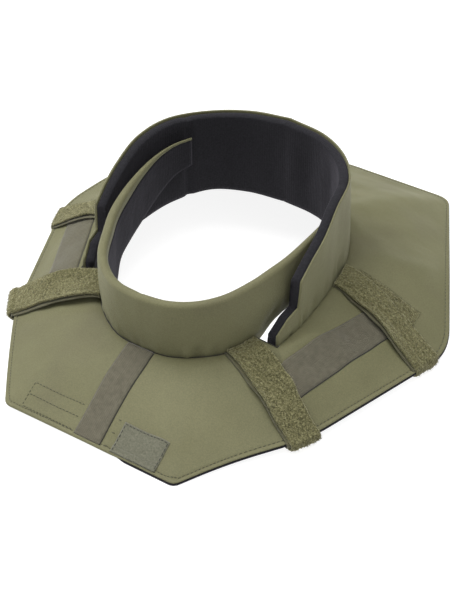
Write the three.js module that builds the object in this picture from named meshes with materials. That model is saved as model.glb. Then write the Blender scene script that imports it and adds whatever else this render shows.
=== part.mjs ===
// Padded neck guard of soft armour: a sloping mantle that lies on the shoulders and a
// standing collar in two halves, with four loop tape straps that fold over the mantle's edge.
// Millimetres, +Z up, the wearer's front towards -Y, resting on the mantle's outer hem.
import * as THREE from 'three';

// Fits
const seam = 0.4;              // gap between pieces that are sewn or laid together
const wallSwell = 0.8;         // swell of a padded wall near its foot
const centreY = 10;            // middle of the neck opening

// Thicknesses
const shellThick = 6;          // padded outer shell of the mantle
const hemThick = 2.6;          // the same shell where it is stitched flat at the hem
const liningThick = 2;         // dark fabric under the mantle
const hemWidth = 14;           // flat stitched border
const crown = 3;               // how far the padding stands proud between collar and hem
const frontWall = 8.5;         // front collar, shell and lining together
const frontShell = 5;
const frontRimDrop = 9;        // how far the outer fabric is turned down inside the rim
const rearWall = 10.5;         // rear collar, shell and lining together
const rearShell = 3;
const tapeThick = 2.2;         // loop tape of the straps
const webbingThick = 1.4;      // flat nylon webbing
const patchThick = 0.8;        // woven label

// Tapes
const strapWidth = 28;
const strapTuck = 30;          // length that is folded under the mantle
const bandLift = 1.5;          // bands over the facets of the mantle's flanks
const frontBandLift = 0.6;     // bands on its flat front
const bandGap = 0.9;           // strap over the webbing that it crosses
const hemGap = 0.9;            // strap over the flat hem
const tuckGap = 2.3;           // strap under the lining
const hemClear = 0.6;          // the mantle's height is read this far inside its edge
const baseThick = 1.2;         // loop tape sewn on under the right rear strap
const baseLift = 1.1;

// Counts and tolerances of the faceted surfaces
const mantleStations = 64;
const wallStations = 52;
const cornerSteps = 4;
const leastTurn = 0.012;       // radians between two stations of the mantle
const cornerStep = 15;         // points of the neck edge that lie further apart have a corner
const padEnd = 0.72;           // share of the way to the border where the padding thins
const sectionHeight = 60;      // nominal height of a wall, for the faces that close its ends
const deepestDrop = 0.95;      // share of a wall's height that a drop never passes
const searchStep = 0.5;
const strapLowers = 0.85;      // share of its way out past which a strap comes down to the hem
const strapLow = 0.98;
const tiny = 1e-9;

const olive = { color: 0x85825c, roughness: 0.78, metalness: 0 };
const webbingOlive = { color: 0x6c695a, roughness: 0.85, metalness: 0 };
const tapeOlive = { color: 0x79744a, roughness: 1, metalness: 0 };
const dark = { color: 0x24242b, roughness: 0.9, metalness: 0 };
const labelOlive = { color: 0x8c8a6a, roughness: 0.9, metalness: 0 };

// Corners of the mantle, from the middle of the front round to the middle of the back.
// under is the height of the underside above the surface that it lies on.
const mantleCorners = [
  { name: 'front middle', xRight: 0, xLeft: 0, y: -197, under: 0, round: 0 },
  { name: 'front corner', xRight: 85.5, xLeft: 83, y: -197.5, under: 0, round: 10 },
  { name: 'front flank', xRight: 111, xLeft: 113, y: -156.5, under: 4, round: 30 },
  { name: 'side corner', xRight: 152, xLeft: 147, y: -106, under: 8, round: 24 },
  { name: 'shoulder corner', xRight: 206, xLeft: 210, y: 48, under: 9, round: 24 },
  { name: 'rear flank', xRight: 175, xLeft: 181, y: 113, under: 28, round: 36 },
  { name: 'rear corner', xRight: 107, xLeft: 111, y: 273, under: 0, round: 13 },
  { name: 'back middle', xRight: 0, xLeft: 0, y: 276, under: 0, round: 0 },
];

// Front collar, outer face, from the middle of the front to the tip of the tongue that
// tucks inside the rear collar. The rim stands out by flare, straight ahead.
const frontCollarRows = [
  { xRight: 0, xLeft: 0, y: -113, flare: 7, low: 34, highRight: 99, highLeft: 99 },
  { xRight: 25, xLeft: 25, y: -110, flare: 6, low: 34, highRight: 99, highLeft: 98 },
  { xRight: 46, xLeft: 46, y: -99, flare: 5, low: 35, highRight: 99, highLeft: 97 },
  { xRight: 64, xLeft: 64, y: -82, flare: 3, low: 36, highRight: 101, highLeft: 98 },
  { xRight: 76, xLeft: 76, y: -58, flare: 2, low: 41, highRight: 104, highLeft: 102 },
  { xRight: 82, xLeft: 82, y: -42, flare: 1, low: 55, highRight: 107, highLeft: 107 },
  { xRight: 86, xLeft: 86.5, y: -20, flare: 0, low: 60, highRight: 108, highLeft: 112 },
  { xRight: 87, xLeft: 90, y: 12, flare: 0, low: 67, highRight: 109, highLeft: 116 },
  { xRight: 85, xLeft: 90, y: 40, flare: 0, low: 77, highRight: 108, highLeft: 118 },
  { xRight: 79.5, xLeft: 85.5, y: 61, flare: 0, low: 86, highRight: 104, highLeft: 119 },
  { xRight: 72, xLeft: 78.5, y: 77, flare: 0, low: 90, highRight: 98, highLeft: 119 },
];

// Rear collar, outer face, from the middle of the back to the foot at its front end.
const rearCollarRows = [
  { xRight: 0, xLeft: 0, y: 130, rimRight: 0, rimLeft: 0, rimY: 126, low: 50, high: 138 },
  { xRight: 38, xLeft: 40, y: 125, rimRight: 38, rimLeft: 38, rimY: 121, low: 50, high: 136 },
  { xRight: 72, xLeft: 76, y: 107, rimRight: 68, rimLeft: 72, rimY: 102, low: 50, high: 135 },
  { xRight: 94, xLeft: 99, y: 68, rimRight: 91, rimLeft: 97, rimY: 68, low: 49, high: 136 },
  { xRight: 101, xLeft: 106, y: 30, rimRight: 99, rimLeft: 105, rimY: 32, low: 49, high: 133 },
  { xRight: 103, xLeft: 107, y: 0, rimRight: 104, rimLeft: 106, rimY: 2, low: 48, high: 122 },
  { xRight: 103, xLeft: 105, y: -18, rimRight: 104, rimLeft: 105, rimY: -18, low: 47, high: 112 },
  { xRight: 102.5, xLeft: 104, y: -34, rimRight: 103, rimLeft: 104, rimY: -34, low: 46, high: 100 },
  { xRight: 102, xLeft: 103.5, y: -36, rimRight: 102.5, rimLeft: 103.5, rimY: -36, low: 46, high: 74 },
  { xRight: 100.5, xLeft: 102, y: -50, rimRight: 101, rimLeft: 102, rimY: -50, low: 45, high: 71 },
  { xRight: 98, xLeft: 99, y: -62, rimRight: 98, rimLeft: 99, rimY: -62, low: 44, high: 60 },
];
const smoothRearRows = 7;      // the rows behind the cut front end are joined by a smooth curve
const frontSewnRows = 5;       // the rows of the front collar that are sewn to the mantle
const seamRise = 9;            // the mantle's top meets the collar this far above its lower edge
const rearSeamRise = 8;

// Straps: inner end of the middle line, its direction in plan, how far it arches off the mantle
// and how far its fold stands out, as a share of the fold's radius.
const strapLines = [
  { name: 'right_front_strap', x: 72.5, y: -75.4, aimX: 0.921, aimY: -0.388, bow: 1.2, loose: 1 },
  { name: 'left_front_strap', x: -72.5, y: -76.9, aimX: -0.954, aimY: -0.3, bow: 1.2, loose: 1 },
  { name: 'right_rear_strap', x: 106, y: 38.7, aimX: 0.984, aimY: -0.178, bow: 2.5, loose: 0.6 },
  { name: 'left_rear_strap', x: -112, y: 22, aimX: -1, aimY: 0, bow: 2.5, loose: 0.6 },
];

// Flat bands sewn on the mantle: ends of the middle line in plan, width and thickness.
const bands = [
  { name: 'centre_webbing', fromX: -0.5, fromY: -116, toX: -0.5, toY: -192, width: 25.5 },
  { name: 'right_shoulder_webbing', fromX: 119, fromY: -86, toX: 150, toY: 26, width: 26 },
  { name: 'left_shoulder_webbing', fromX: -113, fromY: -80, toX: -163, toY: 18, width: 30 },
  { name: 'blank_label', fromX: 45, fromY: -162, toX: 45, toY: -195, width: 43 },
  { name: 'right_rear_strap_base', fromX: 111, fromY: 43, toX: 172, toY: 45.5, width: 29 },
];
const bandLooks = {
  centre_webbing: { thick: webbingThick, lift: frontBandLift, finish: webbingOlive },
  right_shoulder_webbing: { thick: webbingThick, lift: bandLift, finish: webbingOlive },
  left_shoulder_webbing: { thick: webbingThick, lift: bandLift + 2 * seam, finish: webbingOlive },
  blank_label: { thick: patchThick, lift: frontBandLift, finish: labelOlive },
  right_rear_strap_base: { thick: baseThick, lift: baseLift, finish: tapeOlive },
};
const bandSteps = 12;
const bandColumns = 3;

const gorget = new THREE.Group();

const mix = (a, b, t) => a + (b - a) * t;

// Closed body from equal rings of points. Open runs are capped with the outline's triangles.
function bodyFromRings(rings, outline) {
  const count = rings[0].length;
  const positions = rings.flat().flatMap((p) => [p.x, p.y, p.z]);
  const faces = [];
  const spans = outline ? rings.length - 1 : rings.length;
  for (let i = 0; i < spans; i += 1) {
    const next = (i + 1) % rings.length;
    for (let j = 0; j < count; j += 1) {
      const k = (j + 1) % count;
      const a = i * count + j;
      const b = i * count + k;
      const c = next * count + k;
      const d = next * count + j;
      faces.push([a, b, c], [a, c, d]);
    }
  }
  if (outline) {
    const last = (rings.length - 1) * count;
    const way = Math.sign(THREE.ShapeUtils.area(outline));
    for (const triangle of THREE.ShapeUtils.triangulateShape(outline, [])) {
      const corners = triangle.map((i) => outline[i]);
      const same = Math.sign(THREE.ShapeUtils.area(corners)) === way;
      const [a, b, c] = same ? triangle : triangle.slice().reverse();
      faces.push([c, b, a], [last + a, last + b, last + c]);
    }
  }
  return solid(positions, faces);
}

// Geometry whose faces point outwards, whichever way its rings ran.
function solid(positions, faces) {
  const at = (i) => new THREE.Vector3().fromArray(positions, i * 3);
  const volume = faces.reduce((sum, [a, b, c]) => sum + at(a).dot(at(b).cross(at(c))), 0);
  const index = volume > 0 ? faces.flat() : faces.flatMap(([a, b, c]) => [a, c, b]);
  const geometry = new THREE.BufferGeometry();
  geometry.setAttribute('position', new THREE.Float32BufferAttribute(positions, 3));
  geometry.setIndex(index);
  return geometry;
}

function addPiece(name, geometry, finish) {
  const mesh = new THREE.Mesh(geometry, new THREE.MeshStandardMaterial(finish));
  mesh.name = name;
  gorget.add(mesh);
}

// Plan outline of the mantle, its corners rounded, counted from the left side of the front.
function roundedOutline() {
  const half = mantleCorners.map((c) => ({ x: c.xRight, y: c.y, under: c.under, round: c.round }));
  const other = mantleCorners.slice(1, -1).reverse()
    .map((c) => ({ x: -c.xLeft, y: c.y, under: c.under, round: c.round }));
  const corners = [...half, ...other];
  const points = [];
  corners.forEach((corner, i) => {
    const before = corners[(i + corners.length - 1) % corners.length];
    const after = corners[(i + 1) % corners.length];
    const here = new THREE.Vector3(corner.x, corner.y, corner.under);
    if (corner.round === 0) {
      points.push(here);
      return;
    }
    const back = new THREE.Vector3(before.x, before.y, before.under).sub(here);
    const ahead = new THREE.Vector3(after.x, after.y, after.under).sub(here);
    const start = here.clone().add(back.setLength(corner.round));
    const end = here.clone().add(ahead.setLength(corner.round));
    points.push(...new THREE.QuadraticBezierCurve3(start, here, end).getPoints(cornerSteps));
  });
  return points;
}

// Smooth run through the rows of a collar, one side of the object.
function runThroughRows(rows, read, steps) {
  const curve = new THREE.CatmullRomCurve3(rows.map(read), false, 'centripetal');
  return curve.getPoints(steps);
}

const side = (right) => (right ? 1 : -1);

// Stations of the front collar: foot and rim of the outer face with its lower and upper height.
function frontStations() {
  const half = (right) => {
    const across = (r) => (right ? r.xRight : r.xLeft) * side(right);
    const foot = (r) => new THREE.Vector3(across(r), r.y, r.low);
    const rim = (r) => new THREE.Vector3(across(r), r.y - r.flare, right ? r.highRight : r.highLeft);
    const steps = wallStations / 2;
    const feet = runThroughRows(frontCollarRows, foot, steps);
    const rims = runThroughRows(frontCollarRows, rim, steps);
    return feet.map((p, i) => ({ foot: p, rim: rims[i] }));
  };
  return [...half(false).reverse(), ...half(true).slice(1)];
}

// Stations of the rear collar, whose cut front end has sharp corners.
function rearStations() {
  const half = (right) => {
    const foot = (r) => new THREE.Vector3((right ? r.xRight : r.xLeft) * side(right), r.y, r.low);
    const rim = (r) => new THREE.Vector3((right ? r.rimRight : r.rimLeft) * side(right), r.rimY, r.high);
    const smooth = rearCollarRows.slice(0, smoothRearRows);
    const cut = rearCollarRows.slice(smoothRearRows);
    const steps = wallStations / 2 - cut.length;
    const feet = [...runThroughRows(smooth, foot, steps), ...cut.map(foot)];
    const rims = [...runThroughRows(smooth, rim, steps), ...cut.map(rim)];
    return feet.map((p, i) => ({ foot: p, rim: rims[i] }));
  };
  return [...half(true).reverse(), ...half(false).slice(1)];
}

// Level direction from the outer face of a wall towards the neck at each station.
function inwardAt(stations, i) {
  const before = stations[Math.max(i - 1, 0)].foot;
  const after = stations[Math.min(i + 1, stations.length - 1)].foot;
  const along = after.clone().sub(before).setZ(0).normalize();
  const inward = new THREE.Vector3(-along.y, along.x, 0);
  const toNeck = new THREE.Vector3(-stations[i].foot.x, centreY - stations[i].foot.y, 0);
  return inward.dot(toNeck) < 0 ? inward.negate() : inward;
}

// A wall with the given section. A section point has its depth behind the outer face and
// either its rise above the foot or its drop below the rim.
function wallFromSection(stations, section) {
  const rings = stations.map(({ foot, rim }, i) => {
    const inward = inwardAt(stations, i);
    const height = rim.z - foot.z;
    return section.map(({ depth, rise, drop }) => {
      const share = rise === undefined ? 1 - Math.min(drop / height, deepestDrop) : rise;
      return foot.clone().lerp(rim, share).addScaledVector(inward, depth);
    });
  });
  const outline = section.map(({ depth, rise, drop }) => {
    const up = rise === undefined ? sectionHeight - drop : rise * sectionHeight;
    return new THREE.Vector2(depth, up);
  });
  return bodyFromRings(rings, outline);
}

const frontShellSection = [
  { depth: 0, rise: 0 },
  { depth: -0.8, rise: 0.45 },
  { depth: 0.4, drop: 6 },
  { depth: 2, drop: 1.8 },
  { depth: frontWall / 2, drop: 0 },
  { depth: frontWall - 2, drop: 1.8 },
  { depth: frontWall - 0.2, drop: 5 },
  { depth: frontWall, drop: frontRimDrop },
  { depth: frontShell, drop: frontRimDrop },
  { depth: frontShell, rise: 0 },
];
const frontLiningSection = [
  { depth: frontWall, rise: 0 },
  { depth: frontWall, drop: frontRimDrop + seam },
  { depth: frontShell + seam, drop: frontRimDrop + seam },
  { depth: frontShell + seam, rise: 0 },
];
const rearShellSection = [
  { depth: 0, rise: 0 },
  { depth: -0.6, rise: 0.5 },
  { depth: 0.2, drop: 3 },
  { depth: rearShell / 2, drop: 0 },
  { depth: rearShell, drop: 1.5 },
  { depth: rearShell, rise: 0 },
];
const rearLiningSection = [
  { depth: rearWall, rise: 0 },
  { depth: rearWall, drop: 11 },
  { depth: rearWall * 0.92, drop: 6 },
  { depth: rearWall * 0.7, drop: 2.6 },
  { depth: rearWall * 0.45, drop: 1.4 },
  { depth: rearShell + seam, drop: 2.6 },
  { depth: rearShell + seam, rise: 0 },
];

const frontWallStations = frontStations();
const rearWallStations = rearStations();

// Behind this row the front collar's tongues stand clear of the mantle.
const lastSewnRow = frontCollarRows[frontSewnRows - 1];

// Edge of the mantle round the neck: the outer faces of both collars, a seam's width off.
function neckEdge() {
  const off = (stations, rise) => stations.map(({ foot, rim }, i) => {
    const out = inwardAt(stations, i).multiplyScalar(-seam - wallSwell);
    return foot.clone().lerp(rim, rise / (rim.z - foot.z)).add(out);
  });
  const front = off(frontWallStations, seamRise).filter((p) => p.y < lastSewnRow.y + 1);
  const rear = off(rearWallStations, rearSeamRise);
  rear[0].y -= seam + wallSwell;
  rear[rear.length - 1].y -= seam + wallSwell;
  return [...front, ...rear];
}

// Where the ray from the middle of the neck crosses a closed run of points.
function crossing(points, angle) {
  const dirX = Math.sin(angle);
  const dirY = -Math.cos(angle);
  let best = null;
  points.forEach((a, i) => {
    const b = points[(i + 1) % points.length];
    const edgeX = b.x - a.x;
    const edgeY = b.y - a.y;
    const turn = dirX * edgeY - dirY * edgeX;
    if (Math.abs(turn) < tiny) return;
    const reach = (a.x * edgeY - (a.y - centreY) * edgeX) / turn;
    const share = (a.x * dirY - (a.y - centreY) * dirX) / turn;
    const hit = reach > 0 && share >= -tiny && share <= 1 + tiny;
    if (hit && (best === null || reach > best.reach)) best = { reach, z: mix(a.z, b.z, share) };
  });
  return best;
}

const hemOutline = roundedOutline();
const neckOutline = neckEdge();
const angleOf = (p) => Math.atan2(p.x, centreY - p.y);

// Mantle rows from the collar to the hem: share of the way to the flat border.
const mantleRows = [0, 0.2, 0.42, 0.66, 0.86];

// The mantle's top and underside at an angle round the neck and a distance from its middle.
function mantleAt(angle, distance) {
  const inner = crossing(neckOutline, angle);
  const outer = crossing(hemOutline, angle);
  const borderAt = outer.reach - hemWidth;
  const hemTop = outer.z + hemThick + liningThick + seam;
  const share = (distance - inner.reach) / (borderAt - inner.reach);
  const t = THREE.MathUtils.clamp(share, 0, 1);
  const top = mix(inner.z, hemTop, t) + crown * Math.sin(Math.PI * t);
  const thick = mix(shellThick, hemThick, THREE.MathUtils.smoothstep(share, padEnd, 1));
  return { top, shellUnder: top - thick };
}

function mantleStationAngles() {
  const turn = Math.PI * 2 / mantleStations;
  const even = Array.from({ length: mantleStations }, (_, i) => (i + 0.5) * turn - Math.PI);
  const corners = [...neckOutline.filter((p, i) => isStep(i)), ...hemOutline].map(angleOf);
  const all = [...even, ...corners].sort((a, b) => a - b);
  return all.filter((a, i) => i === 0 || a - all[i - 1] > leastTurn);
}

// The neck edge steps outwards where it passes from one half of the collar to the other.
function isStep(i) {
  const jump = (a, b) => Math.hypot(a.x - b.x, a.y - b.y) > cornerStep;
  const before = neckOutline[(i + neckOutline.length - 1) % neckOutline.length];
  const after = neckOutline[(i + 1) % neckOutline.length];
  return jump(neckOutline[i], before) || jump(neckOutline[i], after);
}

// One layer of the mantle between two heights, the first followed outwards, the second back.
function mantleLayer(outwards, back) {
  const rings = mantleStationAngles().map((angle) => {
    const inner = crossing(neckOutline, angle);
    const outer = crossing(hemOutline, angle);
    const borderAt = outer.reach - hemWidth;
    const reaches = [...mantleRows.map((t) => mix(inner.reach, borderAt, t)), borderAt, outer.reach];
    const point = (distance, height) => {
      const x = distance * Math.sin(angle);
      const y = centreY - distance * Math.cos(angle);
      return new THREE.Vector3(x, y, height(mantleAt(angle, distance)));
    };
    return [
      ...reaches.map((r) => point(r, outwards)),
      ...reaches.slice().reverse().map((r) => point(r, back)),
    ];
  });
  return bodyFromRings(rings, null);
}

// Top and underside of the whole mantle below a plan point.
function mantleBelow(x, y) {
  const angle = Math.atan2(x, centreY - y);
  const distance = Math.hypot(x, y - centreY);
  const { top, shellUnder } = mantleAt(angle, distance);
  return { top, under: shellUnder - seam - liningThick };
}

const liningTop = (m) => m.shellUnder - seam;
const liningUnder = (m) => liningTop(m) - liningThick;

addPiece('mantle_shell', mantleLayer((m) => m.top, (m) => m.shellUnder), olive);
addPiece('mantle_lining', mantleLayer(liningUnder, liningTop), dark);
addPiece('front_collar_shell', wallFromSection(frontWallStations, frontShellSection), olive);
addPiece('front_collar_lining', wallFromSection(frontWallStations, frontLiningSection), dark);
addPiece('rear_collar_shell', wallFromSection(rearWallStations, rearShellSection), olive);
addPiece('rear_collar_lining', wallFromSection(rearWallStations, rearLiningSection), dark);

// Flat band laid on the mantle between two plan points, with a given lift off its surface.
function bandOnMantle(from, to, width, thick, lift) {
  const along = to.clone().sub(from);
  const aside = new THREE.Vector2(-along.y, along.x).setLength(width);
  const rings = [];
  for (let i = 0; i <= bandSteps; i += 1) {
    const middle = from.clone().lerp(to, i / bandSteps);
    const row = [];
    for (let j = 0; j <= bandColumns; j += 1) {
      const p = middle.clone().addScaledVector(aside, j / bandColumns - 0.5);
      row.push(new THREE.Vector3(p.x, p.y, mantleBelow(p.x, p.y).top + lift));
    }
    const upper = row.map((p) => p.clone().setZ(p.z + thick)).reverse();
    rings.push([...row, ...upper]);
  }
  const lower = Array.from({ length: bandColumns + 1 }, (_, j) => new THREE.Vector2(j, 0));
  const outline = [...lower, ...lower.map((p) => new THREE.Vector2(p.x, 1)).reverse()];
  return bodyFromRings(rings, outline);
}

for (const { name, fromX, fromY, toX, toY, width } of bands) {
  const { thick, lift, finish } = bandLooks[name];
  const from = new THREE.Vector2(fromX, fromY);
  const to = new THREE.Vector2(toX, toY);
  addPiece(name, bandOnMantle(from, to, width, thick, lift), finish);
}

const strapColumns = [-0.5, -0.17, 0.17, 0.5];
const topSteps = 9;
const foldSteps = 6;
const tuckSteps = 3;

// Loop tape that runs from the collar over the mantle, round its hem and back beneath it.
function strapBody(line) {
  const start = new THREE.Vector2(line.x, line.y);
  const aim = new THREE.Vector2(line.aimX, line.aimY).normalize();
  const aside = new THREE.Vector2(-aim.y, aim.x);
  const columns = strapColumns.map((c) => c * strapWidth);
  const plan = (t, c) => start.clone().addScaledVector(aim, t).addScaledVector(aside, c);
  const hemAt = (c) => {
    let t = 0;
    while (insideHem(plan(t, c))) t += searchStep;
    return t;
  };
  const hem = Math.max(...columns.map(hemAt)) + seam;
  const path = [];
  const above = bandLift + webbingThick + bandGap + tapeThick / 2;
  const aboveHem = hemGap + tapeThick / 2;
  const beneath = tapeThick / 2 + tuckGap;
  for (let i = 0; i <= topSteps; i += 1) path.push({ t: hem * i / topSteps, over: true });
  for (let i = 1; i < foldSteps; i += 1) path.push({ t: hem, turn: Math.PI * i / foldSteps });
  for (let i = 0; i <= tuckSteps; i += 1) path.push({ t: hem - strapTuck * i / tuckSteps, over: false });
  const lines = columns.map((c) => path.map(({ t, over, turn }) => {
    const p = plan(Math.min(t, hemAt(c) - hemClear), c);
    const { top, under } = mantleBelow(p.x, p.y);
    const share = Math.min(t / hem, 1);
    const lift = mix(above, aboveHem, THREE.MathUtils.smoothstep(share, strapLowers, strapLow));
    const upper = top + lift + line.bow * Math.sin(Math.PI * share);
    const lower = under - beneath;
    if (turn === undefined) return new THREE.Vector2(t, over ? upper : lower);
    const middle = (upper + lower) / 2;
    const radius = (upper - lower) / 2;
    return new THREE.Vector2(t + Math.sin(turn) * radius * line.loose, middle + Math.cos(turn) * radius);
  }));
  const rings = path.map((_, i) => {
    const faces = lines.map((run, j) => {
      const before = run[Math.max(i - 1, 0)];
      const after = run[Math.min(i + 1, run.length - 1)];
      const forward = after.clone().sub(before).normalize();
      const normal = new THREE.Vector2(-forward.y, forward.x).multiplyScalar(tapeThick / 2);
      const put = (v) => {
        const p = plan(v.x, columns[j]);
        return new THREE.Vector3(p.x, p.y, v.y);
      };
      return [put(run[i].clone().add(normal)), put(run[i].clone().sub(normal))];
    });
    return [...faces.map((f) => f[0]), ...faces.map((f) => f[1]).reverse()];
  });
  const lower = columns.map((c) => new THREE.Vector2(c, 1));
  const outline = [...lower, ...lower.map((p) => new THREE.Vector2(p.x, 0)).reverse()];
  return bodyFromRings(rings, outline);
}

function insideHem(p) {
  const outer = crossing(hemOutline, Math.atan2(p.x, centreY - p.y));
  return Math.hypot(p.x, p.y - centreY) < outer.reach;
}

for (const line of strapLines) addPiece(line.name, strapBody(line), tapeOlive);

// Origin on the surface it rests on, under the middle of the whole object.
const bounds = new THREE.Box3().setFromObject(gorget);
const middle = bounds.getCenter(new THREE.Vector3());
gorget.children.forEach((mesh) => mesh.geometry.translate(-middle.x, -middle.y, -bounds.min.z));

export default gorget;
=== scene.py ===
import math
import random

import bpy
from mathutils import Matrix, Vector, noise
from mathutils.bvhtree import BVHTree


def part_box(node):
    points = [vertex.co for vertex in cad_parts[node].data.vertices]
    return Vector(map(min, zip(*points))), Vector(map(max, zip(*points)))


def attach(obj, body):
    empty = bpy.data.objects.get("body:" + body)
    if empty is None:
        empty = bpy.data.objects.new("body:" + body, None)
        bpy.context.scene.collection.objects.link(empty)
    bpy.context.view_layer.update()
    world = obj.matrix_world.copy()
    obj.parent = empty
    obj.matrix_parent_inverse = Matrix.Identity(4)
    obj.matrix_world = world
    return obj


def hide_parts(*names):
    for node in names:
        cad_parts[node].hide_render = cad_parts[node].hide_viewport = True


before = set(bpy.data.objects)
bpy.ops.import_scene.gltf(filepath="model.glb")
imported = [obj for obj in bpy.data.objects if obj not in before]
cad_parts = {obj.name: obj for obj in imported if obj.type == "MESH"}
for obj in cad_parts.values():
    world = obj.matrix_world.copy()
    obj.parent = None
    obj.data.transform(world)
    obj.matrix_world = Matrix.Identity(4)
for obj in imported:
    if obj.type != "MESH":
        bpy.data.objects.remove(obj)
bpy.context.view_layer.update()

mm = 0.001
random.seed(11)
bpy.ops.object.select_all(action="DESELECT")

# The tables below are in millimetres round the neck, and the frame sits under its own middle. The
# centre webbing is in both, so its middle and its upper end give the shift between them
webbingAt = (-0.5, -116)
webbingLow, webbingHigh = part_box("centre_webbing")
middleX = (webbingLow[0] + webbingHigh[0]) / 2
planShift = Vector((middleX - webbingAt[0] * mm, webbingHigh[1] - webbingAt[1] * mm, 0))
neckMiddle = Vector((0, 10, 0))


def placed(point):
    return Vector(point) * mm + planShift


def blend(a, b, share):
    return a + (b - a) * share


def eased(low, high, value):
    share = min(max((value - low) / (high - low), 0), 1)
    return share * share * (3 - 2 * share)


def smoothRun(points, steps):
    # Smooth run through the points, as a stiff cloth edge would take them
    run = []
    last = len(points) - 1
    for k in range(steps + 1):
        spot = k / steps * last
        i = min(int(spot), last - 1)
        w = spot - i
        p1, p2 = points[i], points[i + 1]
        p0 = points[i - 1] if i > 0 else p1 * 2 - p2
        p3 = points[i + 2] if i + 2 <= last else p2 * 2 - p1
        d0, d1, d2 = ((b - a).length ** 0.5 for a, b in ((p0, p1), (p1, p2), (p2, p3)))
        m1 = ((p1 - p0) / d0 - (p2 - p0) / (d0 + d1) + (p2 - p1) / d1) * d1
        m2 = ((p2 - p1) / d1 - (p3 - p1) / (d1 + d2) + (p3 - p2) / d2) * d1
        cubic = p1 * 2 - p2 * 2 + m1 + m2
        square = p2 * 3 - p1 * 3 - m1 * 2 - m2
        run.append(cubic * w ** 3 + square * w ** 2 + m1 * w + p1)
    return run


def ringFaces(rings, first=0, closed=False):
    # Quads between equal rings of points; an open run gets its two ends filled
    count = len(rings[0])
    spans = len(rings) if closed else len(rings) - 1
    faces = []
    for i in range(spans):
        a, b = first + i * count, first + (i + 1) % len(rings) * count
        for j in range(count):
            k = (j + 1) % count
            faces.append((a + j, a + k, b + k, b + j))
    if not closed:
        last = first + spans * count
        faces.append(tuple(reversed(range(first, first + count))))
        faces.append(tuple(range(last, last + count)))
    return faces


def newPiece(name, points, faces, rings=None, closed=False):
    mesh = bpy.data.meshes.new(name)
    mesh.from_pydata(points, [], faces)
    if rings:
        layRunUv(mesh, rings, closed)
    piece = bpy.data.objects.new(name, mesh)
    bpy.context.scene.collection.objects.link(piece)
    facesOutwards(piece)
    for face in mesh.polygons:
        face.use_smooth = True
    return piece


def bodyFromRings(name, rings, closed=False):
    points = [p for ring in rings for p in ring]
    return newPiece(name, points, ringFaces(rings, closed=closed), rings, closed)


def joinedRuns(name, runs):
    # One mesh of many small closed runs, such as stitches
    points, faces = [], []
    for rings in runs:
        faces += ringFaces(rings, len(points))
        points += [p for ring in rings for p in ring]
    return newPiece(name, points, faces)


def layRunUv(mesh, rings, closed):
    # UV in metres: u along the run, v round the section
    count = len(rings[0])
    middle = rings[len(rings) // 2]
    around = [0]
    for j in range(count):
        around.append(around[-1] + (middle[(j + 1) % count] - middle[j]).length)
    along = [0]
    for i in range(len(rings)):
        n = (i + 1) % len(rings)
        along.append(along[-1] + (rings[n][0] - rings[i][0]).length)
    layer = mesh.uv_layers.new(name="run")
    spans = len(rings) if closed else len(rings) - 1
    spot = 0
    for i in range(spans):
        for j in range(count):
            for u, v in ((i, j), (i, j + 1), (i + 1, j + 1), (i + 1, j)):
                layer.data[spot].uv = (along[u], around[v])
                spot += 1


def facesOutwards(piece):
    bpy.ops.object.select_all(action="DESELECT")
    bpy.context.view_layer.objects.active = piece
    piece.select_set(True)
    bpy.ops.object.mode_set(mode="EDIT")
    bpy.ops.mesh.select_all(action="SELECT")
    bpy.ops.mesh.normals_make_consistent(inside=False)
    bpy.ops.object.mode_set(mode="OBJECT")
    piece.select_set(False)


def wave(point, size, seed):
    return noise.noise(Vector(point) / size + Vector((seed, seed * 2.7, -seed)))


# Materials

def newFinish(name, roughness, sheen=0.0, tint=None):
    finish = bpy.data.materials.new(name)
    finish.use_nodes = True
    tree = finish.node_tree
    tree.nodes.new("ShaderNodeTexCoord").name = "place"
    shader = tree.nodes["Principled BSDF"].inputs
    shader["Roughness"].default_value = roughness
    shader["Specular IOR Level"].default_value = 0.25
    shader["Sheen Weight"].default_value = sheen
    shader["Sheen Roughness"].default_value = 0.5
    if tint:
        shader["Sheen Tint"].default_value = (*tint, 1)
    return finish, tree


def addNode(tree, kind, **values):
    node = tree.nodes.new(kind)
    for key, value in values.items():
        if key in node.inputs:
            node.inputs[key].default_value = value
        else:
            setattr(node, key, value)
    return node


def pattern(tree, kind, place="Object", **values):
    # A texture laid on the piece by its own coordinates
    node = addNode(tree, kind, **values)
    tree.links.new(tree.nodes["place"].outputs[place], node.inputs["Vector"])
    return node


def speckle(tree, scale, detail=2.0, **values):
    return pattern(tree, "ShaderNodeTexNoise", Scale=scale, Detail=detail, **values).outputs["Fac"]


def threadHeight(tree, pitch, along):
    # One set of parallel threads, pitch apart, as a height
    threads = pattern(tree, "ShaderNodeTexWave", "UV", wave_type="BANDS", bands_direction=along,
                      Scale=math.pi / 10 / pitch, Distortion=0)
    return threads.outputs["Fac"]


def colourRamp(tree, source, stops):
    ramp = tree.nodes.new("ShaderNodeValToRGB")
    while len(ramp.color_ramp.elements) < len(stops):
        ramp.color_ramp.elements.new(0.5)
    for element, (spot, colour) in zip(ramp.color_ramp.elements, stops):
        element.position = spot
        element.color = (*colour, 1)
    tree.links.new(source, ramp.inputs["Fac"])
    return ramp.outputs["Color"]


def intoShader(tree, source, socket="Base Color"):
    tree.links.new(source, tree.nodes["Principled BSDF"].inputs[socket])


def bumpInto(tree, *heights):
    # Chain of bumps, each a height, its distance in metres and its strength
    below = None
    for source, distance, strength in heights:
        bump = addNode(tree, "ShaderNodeBump", Distance=distance, Strength=strength)
        tree.links.new(source, bump.inputs["Height"])
        if below:
            tree.links.new(below, bump.inputs["Normal"])
        below = bump.outputs["Normal"]
    intoShader(tree, below, "Normal")


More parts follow.
